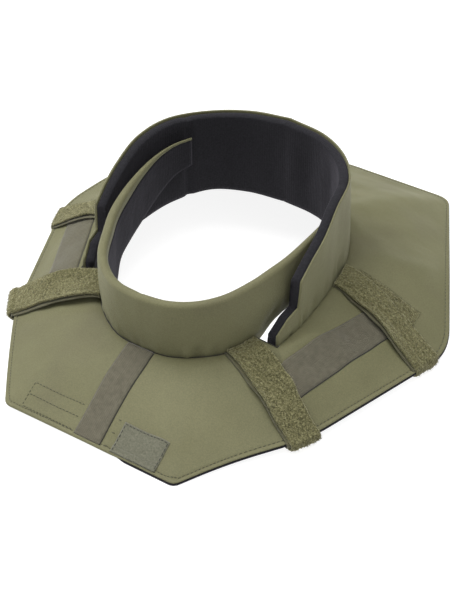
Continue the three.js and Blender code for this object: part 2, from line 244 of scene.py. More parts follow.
coverCloth = {
    "dark": (0.117, 0.11, 0.059),
    "mid": (0.13, 0.126, 0.064),
    "light": (0.145, 0.14, 0.072),
    "patchSize": 70,
    "threadPitch": 0.00055,
    "roughness": 0.62,
    "sheen": 0.25,
    "sheenTint": (0.6, 0.6, 0.42),
}


def makeCoverCloth():
    look = coverCloth
    finish, tree = newFinish("oliveNylon", look["roughness"], look["sheen"], look["sheenTint"])
    stops = [(0.28, look["dark"]), (0.5, look["mid"]), (0.74, look["light"])]
    patches = colourRamp(tree, speckle(tree, 1000 / look["patchSize"], 3.0), stops)
    grain = colourRamp(tree, speckle(tree, 900.0), [(0.3, (0.86,) * 3), (0.7, (1.08,) * 3)])
    mixed = addNode(tree, "ShaderNodeMix", data_type="RGBA", blend_type="MULTIPLY", Factor=1)
    tree.links.new(patches, mixed.inputs[6])
    tree.links.new(grain, mixed.inputs[7])
    intoShader(tree, mixed.outputs[2])
    warp = threadHeight(tree, look["threadPitch"], "X")
    weft = threadHeight(tree, look["threadPitch"], "Y")
    bumpInto(tree, (speckle(tree, 42.0), 0.0016, 0.5), (warp, 0.0001, 0.4), (weft, 0.0001, 0.4))
    return finish


liningCloth = {
    "dark": (0.0075, 0.0073, 0.009),
    "light": (0.015, 0.0145, 0.018),
    "roughness": 0.92,
    "sheen": 0.2,
    "sheenTint": (0.3, 0.28, 0.34),
    "ribPitch": 0.0024,
}


def makeLiningCloth():
    look = liningCloth
    finish, tree = newFinish("darkLining", look["roughness"], look["sheen"], look["sheenTint"])
    fluff = speckle(tree, 620.0, 4.0)
    intoShader(tree, colourRamp(tree, fluff, [(0.32, look["dark"]), (0.75, look["light"])]))
    ribs = threadHeight(tree, look["ribPitch"], "X")
    bumpInto(tree, (speckle(tree, 60.0), 0.0016, 0.5), (ribs, 0.0003, 0.35), (fluff, 0.0005, 0.6))
    return finish


flatWebbing = {
    "dark": (0.082, 0.075, 0.051),
    "light": (0.11, 0.101, 0.07),
    "roughness": 0.8,
    "ribPitch": 0.0017,
}
# Painted shade: the same webbing as the others, coloured darker and browner for the shade the left
# shoulder webbing lies in
webbingPaintedShade = {
    "dark": (0.072, 0.066, 0.038),
    "light": (0.098, 0.09, 0.055),
    "roughness": 0.85,
    "ribPitch": 0.0017,
}


def makeWebbing(name, look):
    finish, tree = newFinish(name, look["roughness"], 0.2)
    cloud = speckle(tree, 240.0, 3.0)
    intoShader(tree, colourRamp(tree, cloud, [(0.28, look["dark"]), (0.7, look["light"])]))
    ribs = threadHeight(tree, look["ribPitch"], "Y")
    picks = threadHeight(tree, look["ribPitch"] * 0.6, "X")
    bumpInto(tree, (ribs, 0.0003, 0.55), (picks, 0.00016, 0.5))
    return finish


loopTape = {
    "dark": (0.026, 0.024, 0.009),
    "mid": (0.099, 0.093, 0.04),
    "light": (0.245, 0.232, 0.12),
    "roughness": 0.95,
    "sheen": 0.6,
    "sheenTint": (0.75, 0.72, 0.48),
    "tuftSize": 1.5,
}


def makeLoopTape():
    look = loopTape
    finish, tree = newFinish("oliveLoopTape", look["roughness"], look["sheen"], look["sheenTint"])
    scale = 1000 / look["tuftSize"]
    tufts = speckle(tree, scale, 5.0, Roughness=0.72)
    stops = [(0.34, look["dark"]), (0.5, look["mid"]), (0.66, look["light"])]
    intoShader(tree, colourRamp(tree, tufts, stops))
    curls = pattern(tree, "ShaderNodeTexVoronoi", Scale=scale * 1.1).outputs["Distance"]
    bumpInto(tree, (curls, 0.0008, 0.6), (tufts, 0.0008, 0.8))
    return finish


selvedge = {"dark": (0.055, 0.052, 0.027), "light": (0.125, 0.118, 0.068), "ribPitch": 0.0012}


def makeSelvedge():
    look = selvedge
    finish, tree = newFinish("oliveSelvedge", 0.85, 0.2)
    ribs = threadHeight(tree, look["ribPitch"], "X")
    intoShader(tree, colourRamp(tree, ribs, [(0.2, look["dark"]), (0.8, look["light"])]))
    bumpInto(tree, (ribs, 0.0002, 0.6))
    return finish


def makeThread(name, colour):
    finish, tree = newFinish(name, 0.7, 0.3)
    twist = speckle(tree, 2400.0)
    shades = [(0.3, tuple(c * 0.7 for c in colour)), (0.7, tuple(c * 1.2 for c in colour))]
    intoShader(tree, colourRamp(tree, twist, shades))
    bumpInto(tree, (twist, 0.0001, 0.5))
    return finish


labelCloth = {"dark": (0.09, 0.09, 0.061), "light": (0.148, 0.147, 0.105), "rowPitch": 0.0007}


def makeLabelCloth():
    look = labelCloth
    finish, tree = newFinish("wovenLabel", 0.75, 0.2)
    cloud = speckle(tree, 700.0, 3.0)
    intoShader(tree, colourRamp(tree, cloud, [(0.3, look["dark"]), (0.7, look["light"])]))
    rows = threadHeight(tree, look["rowPitch"], "X")
    picks = threadHeight(tree, look["rowPitch"], "Y")
    bumpInto(tree, (rows, 0.00018, 0.6), (picks, 0.00012, 0.5))
    return finish


finishes = {
    "olive_fabric": makeCoverCloth(),
    "dark_lining": makeLiningCloth(),
    "webbing": makeWebbing("greyOliveWebbing", flatWebbing),
    # The second webbing finish is the first one with painted shade in its colour
    "webbingPaintedShade": makeWebbing("oliveWebbingPaintedShade", webbingPaintedShade),
    "loop_tape": makeLoopTape(),
    "selvedge": makeSelvedge(),
    "label": makeLabelCloth(),
    "thread": makeThread("oliveThread", (0.05, 0.048, 0.024)),
    # Dark thread for the label's border stitching, also the colour of the cords of painted shadow and
    # shade beside the webbing and at the collar seam
    "darkThreadAndShadeCord": makeThread("darkThreadAndShadeCord", (0.02, 0.019, 0.012)),
}
print("finishes made")


def dressed(piece, finish, slotName, *nodes):
    piece.data.materials.clear()
    piece.data.materials.append(finishes[finish])
    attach(piece, "root")
    if nodes:
        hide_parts(*nodes)


def paddedPanel(name, node, cover, lining, closed=False):
    # The cover and the lining of a padded panel, in the place of its shell and its lining
    outside = bodyFromRings(name + "Cover", cover, closed)
    inside = bodyFromRings(name + "Lining", lining, closed)
    dressed(outside, "olive_fabric", "olive_fabric", node + "_shell")
    dressed(inside, "dark_lining", "dark_lining", node + "_lining")
    return outside


# Both halves of the standing collar

frontCollar = {
    # right x, left x, y, flare of the rim, lower edge, rim on the right, rim on the left
    "rows": [
        (0, 0, -113, 7, 34, 99, 99), (25, 25, -110, 6, 34, 99, 98), (46, 46, -99, 5, 35, 99, 97),
        (64, 64, -82, 3, 36, 101, 98), (76, 76, -58, 2, 41, 104, 102), (82, 82, -42, 1, 55, 107, 107),
        (86, 86.5, -20, 0, 60, 108, 112), (87, 90, 12, 0, 67, 109, 116), (85, 90, 40, 0, 77, 108, 118),
        (79.5, 85.5, 61, 0, 86, 104, 119), (72, 78.5, 77, 0, 90, 98, 119),
    ],
    "lastSewnY": -58,
    "wall": 8.5,
    "tipWall": 1.7,
    "tipInset": 0.6,
    "shell": 5,
    "turnedIn": 9,
    "turnedInAtTip": 1.2,
    "liningClear": 0.3,
    "belly": 1.6,
    "stations": 150,
    "outerSteps": 26,
    "rimSteps": 12,
    "innerSteps": 12,
    "seamRise": 9,
}

rearCollar = {
    # right x, left x, y, rim right x, rim left x, rim y, lower edge, rim height
    "rows": [
        (0, 0, 130, 0, 0, 126, 50, 138), (38, 40, 125, 38, 38, 121, 50, 136),
        (72, 76, 107, 68, 72, 102, 50, 135), (94, 99, 68, 91, 97, 68, 49, 136),
        (101, 106, 30, 99, 105, 32, 49, 133), (103, 107, 0, 104, 106, 2, 48, 122),
        (103, 105, -18, 104, 105, -18, 47, 112), (102.5, 104, -34, 103, 104, -34, 46, 100),
        (102, 103.5, -36, 102.5, 103.5, -36, 46, 74), (100.5, 102, -50, 101, 102, -50, 45, 71),
        (98, 99, -62, 98, 99, -62, 44, 60),
    ],
    "smoothRows": 7,
    "wall": 10.5,
    "shell": 1.8,
    "gap": 0.25,
    "belly": 1.0,
    "overlap": 4,
    "liningDown": 3.4,
    "liningRound": 2.4,
    "creaseDown": 1.2,
    "creaseDepth": 2.2,
    "stations": 130,
    "cutSteps": 8,
    "outerSteps": 24,
    "rimSteps": 6,
    "turnSteps": 12,
    "innerSteps": 20,
    "seamRise": 8,
}


def frontStations():
    count = frontCollar["stations"] // 2

    def half(sign):
        feet, rims = [], []
        for right, left, y, flare, low, highRight, highLeft in frontCollar["rows"]:
            x = right if sign > 0 else -left
            high = highRight if sign > 0 else highLeft
            feet.append(Vector((x, y, low)))
            rims.append(Vector((x, y - flare, high)))
        pairs = zip(smoothRun(feet, 200), smoothRun(rims, 200))
        return spreadStations(list(pairs), count)

    return half(-1)[::-1] + half(1)[1:]


def rearStations():
    count = rearCollar["stations"] // 2

    def half(sign):
        feet, rims = [], []
        for right, left, y, rimRight, rimLeft, rimY, low, high in rearCollar["rows"]:
            feet.append(Vector((right if sign > 0 else -left, y, low)))
            rims.append(Vector((rimRight if sign > 0 else -rimLeft, rimY, high)))
        smooth = rearCollar["smoothRows"]
        smoothPairs = list(zip(smoothRun(feet[:smooth], 160), smoothRun(rims[:smooth], 160)))
        run = spreadStations(smoothPairs, count)
        for i in range(smooth - 1, len(feet) - 1):
            for k in range(1, rearCollar["cutSteps"] + 1):
                share = k / rearCollar["cutSteps"]
                run.append((feet[i].lerp(feet[i + 1], share), rims[i].lerp(rims[i + 1], share)))
        return run

    return half(1)[::-1] + half(-1)[1:]


def spreadStations(pairs, count):
    # Stations spread evenly along the foot, each with the rim that belongs to it
    reach = [0]
    for (a, _), (b, _) in zip(pairs, pairs[1:]):
        reach.append(reach[-1] + (b - a).length)
    run = []
    i = 0
    for k in range(count + 1):
        goal = reach[-1] * k / count
        while i < len(pairs) - 2 and reach[i + 1] < goal:
            i += 1
        share = (goal - reach[i]) / (reach[i + 1] - reach[i])
        foot = pairs[i][0].lerp(pairs[i + 1][0], share)
        rim = pairs[i][1].lerp(pairs[i + 1][1], share)
        run.append((foot, rim))
    return run


def inwardAt(stations, i):
    before = stations[max(i - 2, 0)][0]
    after = stations[min(i + 2, len(stations) - 1)][0]
    along = (after - before).to_2d().normalized()
    inward = Vector((-along.y, along.x, 0))
    toNeck = neckMiddle - stations[i][0]
    return inward if inward.dot(Vector((toNeck.x, toNeck.y, 0))) > 0 else -inward


def wallOf(run, i):
    # Gives points in the wall at one station, by depth inwards and by rise or by drop from the rim
    (foot, rim), inward = run[i], inwardAt(run, i)

    def at(depth, rise=None, drop=None):
        share = rise if drop is None else 1 - min(drop / max(rim.z - foot.z, 1), 0.95)
        return placed(foot.lerp(rim, share) + inward * depth)

    return at


frontRun = frontStations()
rearRun = rearStations()


def fromTip(i):
    return min(i, len(frontRun) - 1 - i) / (len(frontRun) / 2)


def bellyAt(point, amount, rise):
    # The padded face swells between its seams, with slack folds that run up and down
    folds = wave((point.x, point.y, point.z * 0.18), 26, 3) * 1.5
    folds += wave((point.x, point.y, point.z * 0.4), 12, 9) * 0.5
    puckers = wave((point.x, point.y, 0), 6, 13) * 3 * math.exp(-((rise - 0.22) / 0.1) ** 2)
    return -(amount + folds) * math.sin(math.pi * min(max(rise, 0), 1)) ** 0.8 - puckers


def makeFrontCollar():
    look = frontCollar
    shell, lining = [], []
    for i, (foot, rim) in enumerate(frontRun):
        at = wallOf(frontRun, i)
        high = rim.z - foot.z
        # Each tongue thins towards its tip, and less of the cover is turned in there
        wall = blend(look["tipWall"], look["wall"], eased(0, 0.55, fromTip(i)))
        inset = (look["wall"] - wall) * look["tipInset"] * (1 - eased(-20, 20, foot.x))
        radius = wall / 2
        fabric = min(look["shell"], wall * 0.6)
        turned = blend(look["turnedInAtTip"], look["turnedIn"], eased(0.04, 0.5, fromTip(i)))
        turned = max(turned, radius) + 1.2 * wave(rim, 30, 5) * eased(0.1, 0.4, fromTip(i))
        ring = []
        for k in range(look["outerSteps"]):
            share = k / look["outerSteps"]
            rise = share * (1 - radius / high)
            ring.append(at(inset + bellyAt(foot.lerp(rim, rise), look["belly"], share), rise=rise))
        for k in range(look["rimSteps"] + 1):
            turn = math.pi * k / look["rimSteps"]
            depth = inset + radius - radius * math.cos(turn)
            ring.append(at(depth, drop=radius - radius * math.sin(turn)))
        ring += [at(inset + wall, drop=blend(radius, turned, k / 4)) for k in range(1, 5)]
        ring.append(at(inset + wall - wall * 0.1, drop=turned + 0.9))
        ring.append(at(inset + fabric, drop=turned + 1))
        ring += [at(inset + fabric, rise=0), at(inset + fabric / 2, rise=0)]
        shell.append(ring)
        inner = []
        top = 1 - min((turned + 0.6) / high, 0.9)
        for k in range(look["innerSteps"] + 1):
            share = k / look["innerSteps"]
            middle = foot.lerp(rim, top * share)
            slack = wave((middle.x, middle.y, middle.z * 0.3), 18, 21) * 1.1 * math.sin(math.pi * share)
            depth = inset + wall - look["liningClear"] + slack * wall / look["wall"]
            inner.append(at(depth, rise=top * share))
        start = inset + fabric + look["liningClear"]
        inner += [at(start, rise=top), at(start, rise=0)]
        lining.append(inner)
    paddedPanel("frontCollar", "front_collar", shell, lining)


rearPanelSeams = [(-88, 83), (41, 115), (-98, 40), (96, 62)]


def panelCrease(point):
    # Depth of the crease where two panels of the lining meet
    depth = 0
    for x, y in rearPanelSeams:
        away = (Vector((point.x, point.y)) - Vector((x, y))).length
        depth = max(depth, math.exp(-(away / 3.2) ** 2))
    return depth


def makeRearCollar():
    look = rearCollar
    shell, lining = [], []
    half = look["shell"] / 2
    start = look["shell"] + look["gap"]
    width = look["wall"] - start
    for i, (foot, rim) in enumerate(rearRun):
        at = wallOf(rearRun, i)
        high = rim.z - foot.z
        crease = panelCrease(rim)
        ring = []
        for k in range(look["outerSteps"]):
            share = k / look["outerSteps"]
            rise = share * (1 - 1.3 / high)
            ring.append(at(bellyAt(foot.lerp(rim, rise), look["belly"], share), rise=rise))
        for k in range(look["rimSteps"] + 1):
            turn = math.pi * k / look["rimSteps"]
            ring.append(at(half - half * math.cos(turn), drop=half - half * math.sin(turn)))
        ring += [at(look["shell"], drop=look["overlap"]), at(look["shell"], rise=0), at(half, rise=0)]
        shell.append(ring)
        inner = [at(start, rise=0), at(start, drop=look["overlap"])]
        for k in range(look["turnSteps"] + 1):
            turn = math.pi * k / look["turnSteps"]
            down = look["liningDown"] + crease * look["creaseDown"] - look["liningRound"] * math.sin(turn)
            inner.append(at(start + width / 2 * (1 - math.cos(turn)), drop=down))
        for k in range(1, look["innerSteps"] + 1):
            share = k / look["innerSteps"]
            rise = (1 - min(6 / high, 0.9)) * (1 - share)
            middle = foot.lerp(rim, rise)
            slack = wave((middle.x, middle.y, middle.z * 0.25), 22, 33) * 2 * math.sin(math.pi * share)
            inner.append(at(look["wall"] + slack - crease * look["creaseDepth"], rise=rise))
        lining.append(inner)
    paddedPanel("rearCollar", "rear_collar", shell, lining)


makeFrontCollar()
makeRearCollar()
print("collar made")


# Mantle

mantle = {
    # right x, left x, y, height of the underside, rounding
    "corners": [
        (0, 0, -197, 0, 0), (85.5, 83, -197.5, 0, 5), (111, 113, -156.5, 4, 30), (152, 147, -106, 8, 24),
        (206, 210, 48, 9, 24), (175, 181, 113, 28, 36), (107, 111, 273, 0, 13), (0, 0, 276, 0, 0),
    ],
    "hemWidth": 5,
    "hemSoft": 3,
    "hemThick": 1.7,
    "liningThick": 1.4,
    "layerGap": 0.2,
    "crown": 3,
    "neckThick": 6,
    "stations": 460,
    "rows": 46,
    "stitchInset": 3.6,
    "neckClear": 0.35,
    "hemRound": 1.3,
    "hemSteps": 8,
    "liningShows": 0.5,
    "liningHides": 3.2,
    "tuckedLow": 0.3,
}


def mantleOutline():
    rows = mantle["corners"]
    right = [(Vector((r, y, z)), round) for r, _, y, z, round in rows]
    left = [(Vector((-l, y, z)), round) for _, l, y, z, round in rows[1:-1]]
    corners = right + left[::-1]
    outline = []
    for i, (here, radius) in enumerate(corners):
        if radius == 0:
            outline.append(here)
            continue
        before = corners[i - 1][0]
        after = corners[(i + 1) % len(corners)][0]
        start = here + (before - here).normalized() * radius
        end = here + (after - here).normalized() * radius
        for k in range(13):
            s = k / 12
            outline.append(start * (1 - s) ** 2 + here * 2 * s * (1 - s) + end * s * s)
    return outline


def neckOutline():
    clear = mantle["neckClear"]

    def off(run, rise):
        edge = []
        for i, (foot, rim) in enumerate(run):
            out = -inwardAt(run, i)
            edge.append(foot.lerp(rim, rise / (rim.z - foot.z)) + out * clear)
        return edge

    front = [p for p in off(frontRun, frontCollar["seamRise"]) if p.y < frontCollar["lastSewnY"] + 1]
    rear = off(rearRun, rearCollar["seamRise"])
    rear[0].y -= clear + 1
    rear[-1].y -= clear + 1
    return front + rear


def crossing(outline, angle):
    # Where the ray from the middle of the neck leaves a closed run of points
    aimX, aimY = math.sin(angle), -math.cos(angle)
    best = None
    for i, a in enumerate(outline):
        b = outline[(i + 1) % len(outline)]
        ex, ey = b.x - a.x, b.y - a.y
        turn = aimX * ey - aimY * ex
        if abs(turn) < 1e-9:
            continue
        ax, ay = a.x - neckMiddle.x, a.y - neckMiddle.y
        reach = (ax * ey - ay * ex) / turn
        share = (ax * aimY - ay * aimX) / turn
        if reach > 0 and -1e-9 <= share <= 1 + 1e-9 and (best is None or reach > best[0]):
            best = (reach, blend(a.z, b.z, share))
    return best


hemLine = mantleOutline()
neckLine = neckOutline()


def mantleColumn(angle):
    inner, innerZ = crossing(neckLine, angle)
    outer, outerZ = crossing(hemLine, angle)
    return {
        "angle": angle,
        "aim": Vector((math.sin(angle), -math.cos(angle), 0)),
        "inner": inner,
        "innerZ": innerZ,
        "outer": outer,
        "floorZ": outerZ,
        "border": outer - mantle["hemWidth"],
        "hemTop": outerZ + mantle["hemThick"] + mantle["liningThick"] + mantle["layerGap"],
    }


def slopeAt(column, reach):
    # Smooth slope from the collar to the hem, easing into the level hem
    span = column["border"] - column["inner"]
    share = (reach - column["inner"]) / span
    soft = mantle["hemSoft"] / span
    t = max(share - soft * math.log1p(math.exp((share - 1) / soft)), 0)
    return blend(column["innerZ"], column["hemTop"], t) + mantle["crown"] * math.sin(math.pi * t)


def paddingAt(column, reach):
    share = (reach - column["inner"]) / (column["border"] - column["inner"])
    return blend(mantle["neckThick"], mantle["hemThick"], eased(0.72, 1, share))


# Soft folds in the cover: from, to, half width and height, which is below zero for a hollow
coverFolds = [
    {"from": (-58, -98), "to": (-120, -128), "half": 9, "height": 2.2},
    {"from": (-48, -108), "to": (-78, -150), "half": 8, "height": -1.6},
    {"from": (34, -120), "to": (60, -172), "half": 10, "height": 1.8},
    {"from": (96, -62), "to": (132, -20), "half": 7, "height": 2.2},
    {"from": (108, -84), "to": (140, -40), "half": 6, "height": -1.4},
    {"from": (98, 66), "to": (160, 120), "half": 14, "height": 2.4},
    {"from": (60, 130), "to": (86, 230), "half": 16, "height": 2.2},
    {"from": (-104, 60), "to": (-160, 110), "half": 13, "height": 2.2},
    {"from": (-40, 142), "to": (-66, 236), "half": 15, "height": -2},
]


def foldsAt(x, y):
    total = 0
    for fold in coverFolds:
        start, end = Vector(fold["from"]), Vector(fold["to"])
        along = end - start
        share = (Vector((x, y)) - start).dot(along) / along.length_squared
        near = start + along * min(max(share, 0), 1)
        away = (Vector((x, y)) - near).length / fold["half"]
        total += fold["height"] * math.exp(-away ** 2)
    return total


def mantleHeight(column, reach):
    # Top of the cover, padded, with slack between its seams
    look = mantle
    spot = (reach * math.sin(column["angle"]), reach * math.cos(column["angle"]), 0)
    top = slopeAt(column, reach)
    fromNeck = reach - column["inner"]
    fromHem = column["outer"] - look["stitchInset"] - reach
    top -= 2.2 * math.exp(-fromNeck / 2.2)
    pad = 1.3 * (1 - math.exp(-max(fromHem, 0) / 6)) * eased(0, 12, fromNeck)
    slack = wave(spot, 62, 1) * 2.4 + wave(spot, 24, 7) * 1.1 + foldsAt(spot[0], neckMiddle.y - spot[1])
    slack *= eased(2, 22, fromHem) * eased(0, 14, fromNeck)
    groove = 0.3 * math.exp(-(fromHem / 1.2) ** 2)
    return top + pad * 0.8 + slack - groove - 0.5 * (1 - eased(-2, 1, fromHem))


def mantleReaches(column):
    look = mantle
    inner, outer = column["inner"], column["outer"]
    stitch = outer - look["stitchInset"]
    reaches = [inner + d for d in (0, 0.8, 1.8, 3.2, 5.2)]
    span = stitch - 8 - reaches[-1]
    reaches += [reaches[-1] + span * k / look["rows"] for k in range(1, look["rows"] + 1)]
    reaches += [stitch + d for d in (-5.5, -3.5, -2, -1, -0.4, 0, 0.4, 1, 1.9, 2.6)]
    return reaches


def mantleAngles():
    count = mantle["stations"]
    angles = [(k + 0.5) * 2 * math.pi / count - math.pi for k in range(count)]
    steps = []
    for i, p in enumerate(neckLine):
        before, after = neckLine[i - 1], neckLine[(i + 1) % len(neckLine)]
        if max((p - before).to_2d().length, (p - after).to_2d().length) > 15:
            steps.append(math.atan2(p.x - neckMiddle.x, neckMiddle.y - p.y))
    for step in steps:
        angles = [a for a in angles if abs(a - step) > 0.004] + [step - 0.0015, step + 0.0015]
    return sorted(angles)


def liningTucked(point):
    # On the front left the cover comes down over the lining's edge, elsewhere the lining shows
    return (1 - eased(22, 40, point.x)) * (1 - eased(40, 90, point.y))


mantleColumns = [mantleColumn(a) for a in mantleAngles()]


def makeMantle():
    look = mantle
    gap, thick = look["layerGap"], look["liningThick"]
    cover, lining = [], []
    for column in mantleColumns:
        outer, floor = column["outer"], column["floorZ"]

        def at(reach, height):
            return placed(neckMiddle + column["aim"] * reach + Vector((0, 0, height)))

        reaches = mantleReaches(column)
        ring = [at(r, mantleHeight(column, r)) for r in reaches]
        tucked = liningTucked(neckMiddle + column["aim"] * outer)
        low = floor + blend(thick + gap, look["tuckedLow"], tucked)
        radius = (mantleHeight(column, reaches[-1]) - low) / 2
        for k in range(1, look["hemSteps"]):
            turn = math.pi * k / look["hemSteps"]
            reach = outer - look["hemRound"] + look["hemRound"] * math.sin(turn)
            ring.append(at(reach, low + radius + radius * math.cos(turn)))
        under = [(r, slopeAt(column, r) - paddingAt(column, r)) for r in reaches[::4] + reaches[-1:]]
        under.reverse()
        cover.append(ring + [at(r, z) for r, z in under])
        liningEdge = outer - blend(-look["liningShows"], look["liningHides"], tucked)
        upper = [at(r, z - gap) for r, z in under]
        upper[0] = at(liningEdge, floor + thick)
        lower = [at(r, z - gap - thick) for r, z in reversed(under)]
        lower[-1] = at(liningEdge, floor)
        lining.append(upper + lower)
    return paddedPanel("mantle", "mantle", cover, lining, closed=True)


mantleCover = makeMantle()
print("mantle made")


def surfaceOf(*pieces):
    points, faces = [], []
    for piece in pieces:
        first = len(points)
        points += [v.co.copy() for v in piece.data.vertices]
        faces += [[first + i for i in f.vertices] for f in piece.data.polygons]
    return BVHTree.FromPolygons(points, faces)


mantleSurface = surfaceOf(mantleCover)


def dropTo(surface, x, y):
    # Height in millimetres of a surface below a plan point of the tables
    start = placed((x, y, 0)) + Vector((0, 0, 0.3))
    hit = surface.ray_cast(start, Vector((0, 0, -1)))[0]
    return hit.z / mm if hit else None


# Flat webbing and the label, sewn on the mantle

# The side given with each band is the edge that gets a dark cord of painted shadow beside it
bandPieces = {
    "centreWebbing": {
        "from": (-0.5, -115.5), "to": (-0.5, -195), "width": 25.5, "shadowCordSide": 1,
        "finish": "webbing", "node": "centre_webbing",
    },
    "rightShoulderWebbing": {
        "from": (119, -86), "to": (150, 26), "width": 26, "shadowCordSide": -1,
        "finish": "webbing", "node": "right_shoulder_webbing",
    },
    # Its webbing finish is darkened with painted shade
    "leftShoulderWebbing": {
        "from": (-113, -80), "to": (-163, 18), "width": 30, "shadowCordSide": -1,
        "finish": "webbingPaintedShade", "node": "left_shoulder_webbing",
    },
}
webbingCloth = {"thick": 0.9, "lift": 0.1}


def bandRings(start, end, width, thick, lift, steps=60, across=16):
    # A flat band that follows the mantle between two plan points
    a, b = Vector((*start, 0)), Vector((*end, 0))
    side = Vector((-(b - a).y, (b - a).x, 0)).normalized()
    rings = []
    for i in range(steps + 1):
        middle = a.lerp(b, i / steps)
        low, high = [], []
        for j in range(across + 1):
            p = middle + side * ((j / across - 0.5) * width)
            ground = dropTo(mantleSurface, p.x, p.y) + lift
            edge = 1 - 0.5 * abs(2 * j / across - 1) ** 10
            low.append(placed((p.x, p.y, ground)))
            high.append(placed((p.x, p.y, ground + thick * edge)))
        rings.append(low + high[::-1])
    return rings


def makeBands():
    pieces = []
    for name, band in bandPieces.items():
        piece = bodyFromRings(name, bandRings(band["from"], band["to"], band["width"], **webbingCloth))
        dressed(piece, band["finish"], "webbing", band["node"])
        pieces.append(piece)
    return pieces


bands = makeBands()
labelSize = {
    "x": 45, "top": -173, "foot": -196, "width": 43, "thick": 0.7, "lift": 0.15,
    "fold": 4.5, "foldThick": 0.6, "foldLift": 0.95, "border": 1.4, "borderFoot": 1.2,
}


def makeLabel():
    size = labelSize
    x, foot, width = size["x"], size["foot"], size["width"]
    rings = bandRings((x, size["top"]), (x, foot), width, size["thick"], size["lift"], 40, 30)
    label = bodyFromRings("plainLabel", rings)
    dressed(label, "label", "label", "blank_label")
    # Its lower end is folded up once, where it is caught in the hem
    start = (x, foot + size["fold"])
    rings = bandRings(start, (x, foot), width, size["foldThick"], size["foldLift"], 10, 30)
    folded = bodyFromRings("plainLabelFold", rings)
    dressed(folded, "label", "label")
    return [label, folded]


labelPieces = makeLabel()
print("webbing and label made")


# Sewing thread, and dark cords of painted shadow and shade

stitch = {
    "length": 2.5,
    "gap": 0.9,
    "radius": 0.32,
    # Along each stitch: its points, how high they stand and how thick it is there
    "shares": (0, 0.12, 0.5, 0.88, 1),
    "rise": (-0.35, 0.08, 0.2, 0.08, -0.35),
    "taper": (0.5, 0.9, 1, 0.9, 0.5),
}


def threadRing(middle, forward, radius, sides=6):
    side = Vector((-forward.y, forward.x, 0)).normalized()
    up = forward.cross(side).normalized()
    turns = [2 * math.pi * k / sides for k in range(sides)]
    return [middle + (side * math.cos(t) + up * math.sin(t)) * radius * mm for t in turns]


def onSurface(surface, points, lift):
    return [placed((x, y, dropTo(surface, x, y) + lift)) for x, y in points]


def stitchesAlong(surface, points):
    # Stitches that dip into the cloth at both ends, along a run of plan points
    pitch = stitch["length"] + stitch["gap"]
    runs = []
    for a, b in zip(points, points[1:]):
        start, end = Vector(a), Vector(b)
        count = max(round((end - start).length / pitch), 1)
        step = (end - start) / count
        for k in range(count):
            spots = [start + step * (k + stitch["length"] / pitch * s) for s in stitch["shares"]]
            line = onSurface(surface, spots, 0)
            forward = (line[-1] - line[0]).normalized()
            line = [p + Vector((0, 0, h * mm)) for p, h in zip(line, stitch["rise"])]
            sizes = [stitch["radius"] * t for t in stitch["taper"]]
            runs.append([threadRing(p, forward, radius) for p, radius in zip(line, sizes)])
    return runs


def cordOver(surface, points, radius, lift):
    # A thin cord that lies on a surface, along a run of plan points
    line = onSurface(surface, points, lift)
    rings = []
    for i, p in enumerate(line):
        forward = line[min(i + 1, len(line) - 1)] - line[max(i - 1, 0)]
        rings.append(threadRing(p, forward.normalized(), radius))
    return rings


# Box stitching on the front: the near and far end of its rows on each side
boxStitch = {"left": (-17, -68), "right": (17, 21), "rows": (-173.5, -183, -193)}
# Painted shadow: a dark cord beside one edge of each webbing, where its thickness shades the mantle
webbingShadowCord = {"radius": 0.5, "lift": 0.12, "beside": 0.35, "steps": 60}
# The seam where the front collar meets the mantle is real; its dark cord is painted shade for the crease
# there
collarSeamShadeCord = {"radius": 0.6, "lift": 0.1, "beside": 0.9}


def makeStitching():
    hem = []
    for column in mantleColumns[::3]:
        p = neckMiddle + column["aim"] * (column["outer"] - mantle["stitchInset"])
        hem.append((p.x, p.y))
    runs = stitchesAlong(mantleSurface, hem + hem[:1])
    dressed(joinedRuns("hemStitching", runs), "thread", "olive_fabric")
    rows, far = boxStitch["rows"], boxStitch["left"][1]
    lines = [[(near, y), (end, y)] for near, end in (boxStitch["left"], boxStitch["right"]) for y in rows]
    lines.append([(far, rows[0]), (far, rows[-1])])
    runs = [run for line in lines for run in stitchesAlong(mantleSurface, line)]
    dressed(joinedRuns("boxStitching", runs), "thread", "olive_fabric")
    size = labelSize
    left = size["x"] - size["width"] / 2 + size["border"]
    right = size["x"] + size["width"] / 2 - size["border"]
    top, foot = size["top"] - size["border"], size["foot"] + size["borderFoot"]
    border = [(left, foot), (left, top), (right, top), (right, foot)]
    runs = stitchesAlong(surfaceOf(*labelPieces), border)
    dressed(joinedRuns("labelStitching", runs), "darkThreadAndShadeCord", "label")


def makeShadeCords():
    # Painted shadow and shade: dark cords beside the webbing, where its edge casts a shadow, and along the
    # seam where the front collar meets the mantle, for the shade in its crease
    look = webbingShadowCord
    shadowCords = []
    for band in bandPieces.values():
        a, b = Vector(band["from"]), Vector(band["to"])
        off = Vector((-(b - a).y, (b - a).x)).normalized() * (band["width"] / 2 + look["beside"])
        a, b = a + off * band["shadowCordSide"], b + off * band["shadowCordSide"]
        points = [a.lerp(b, k / look["steps"]) for k in range(look["steps"] + 1)]
        shadowCords.append(cordOver(mantleSurface, points, look["radius"], look["lift"]))
    dressed(joinedRuns("webbingShadowCords", shadowCords), "darkThreadAndShadeCord", "olive_fabric")
    # Painted shade: the dark cord along the collar seam stands for the shade in its crease
    look = collarSeamShadeCord
    meets = [neckMiddle + c["aim"] * (c["inner"] + look["beside"]) for c in mantleColumns]
    points = [(p.x, p.y) for p in meets if p.y < frontCollar["lastSewnY"]]
    rings = cordOver(mantleSurface, points, look["radius"], look["lift"])[1:-1]
    dressed(joinedRuns("collarSeamShadeCord", [rings]), "darkThreadAndShadeCord", "olive_fabric")


makeStitching()
makeShadeCords()
print("sewing made")


# Loop tape straps, folded round the hem

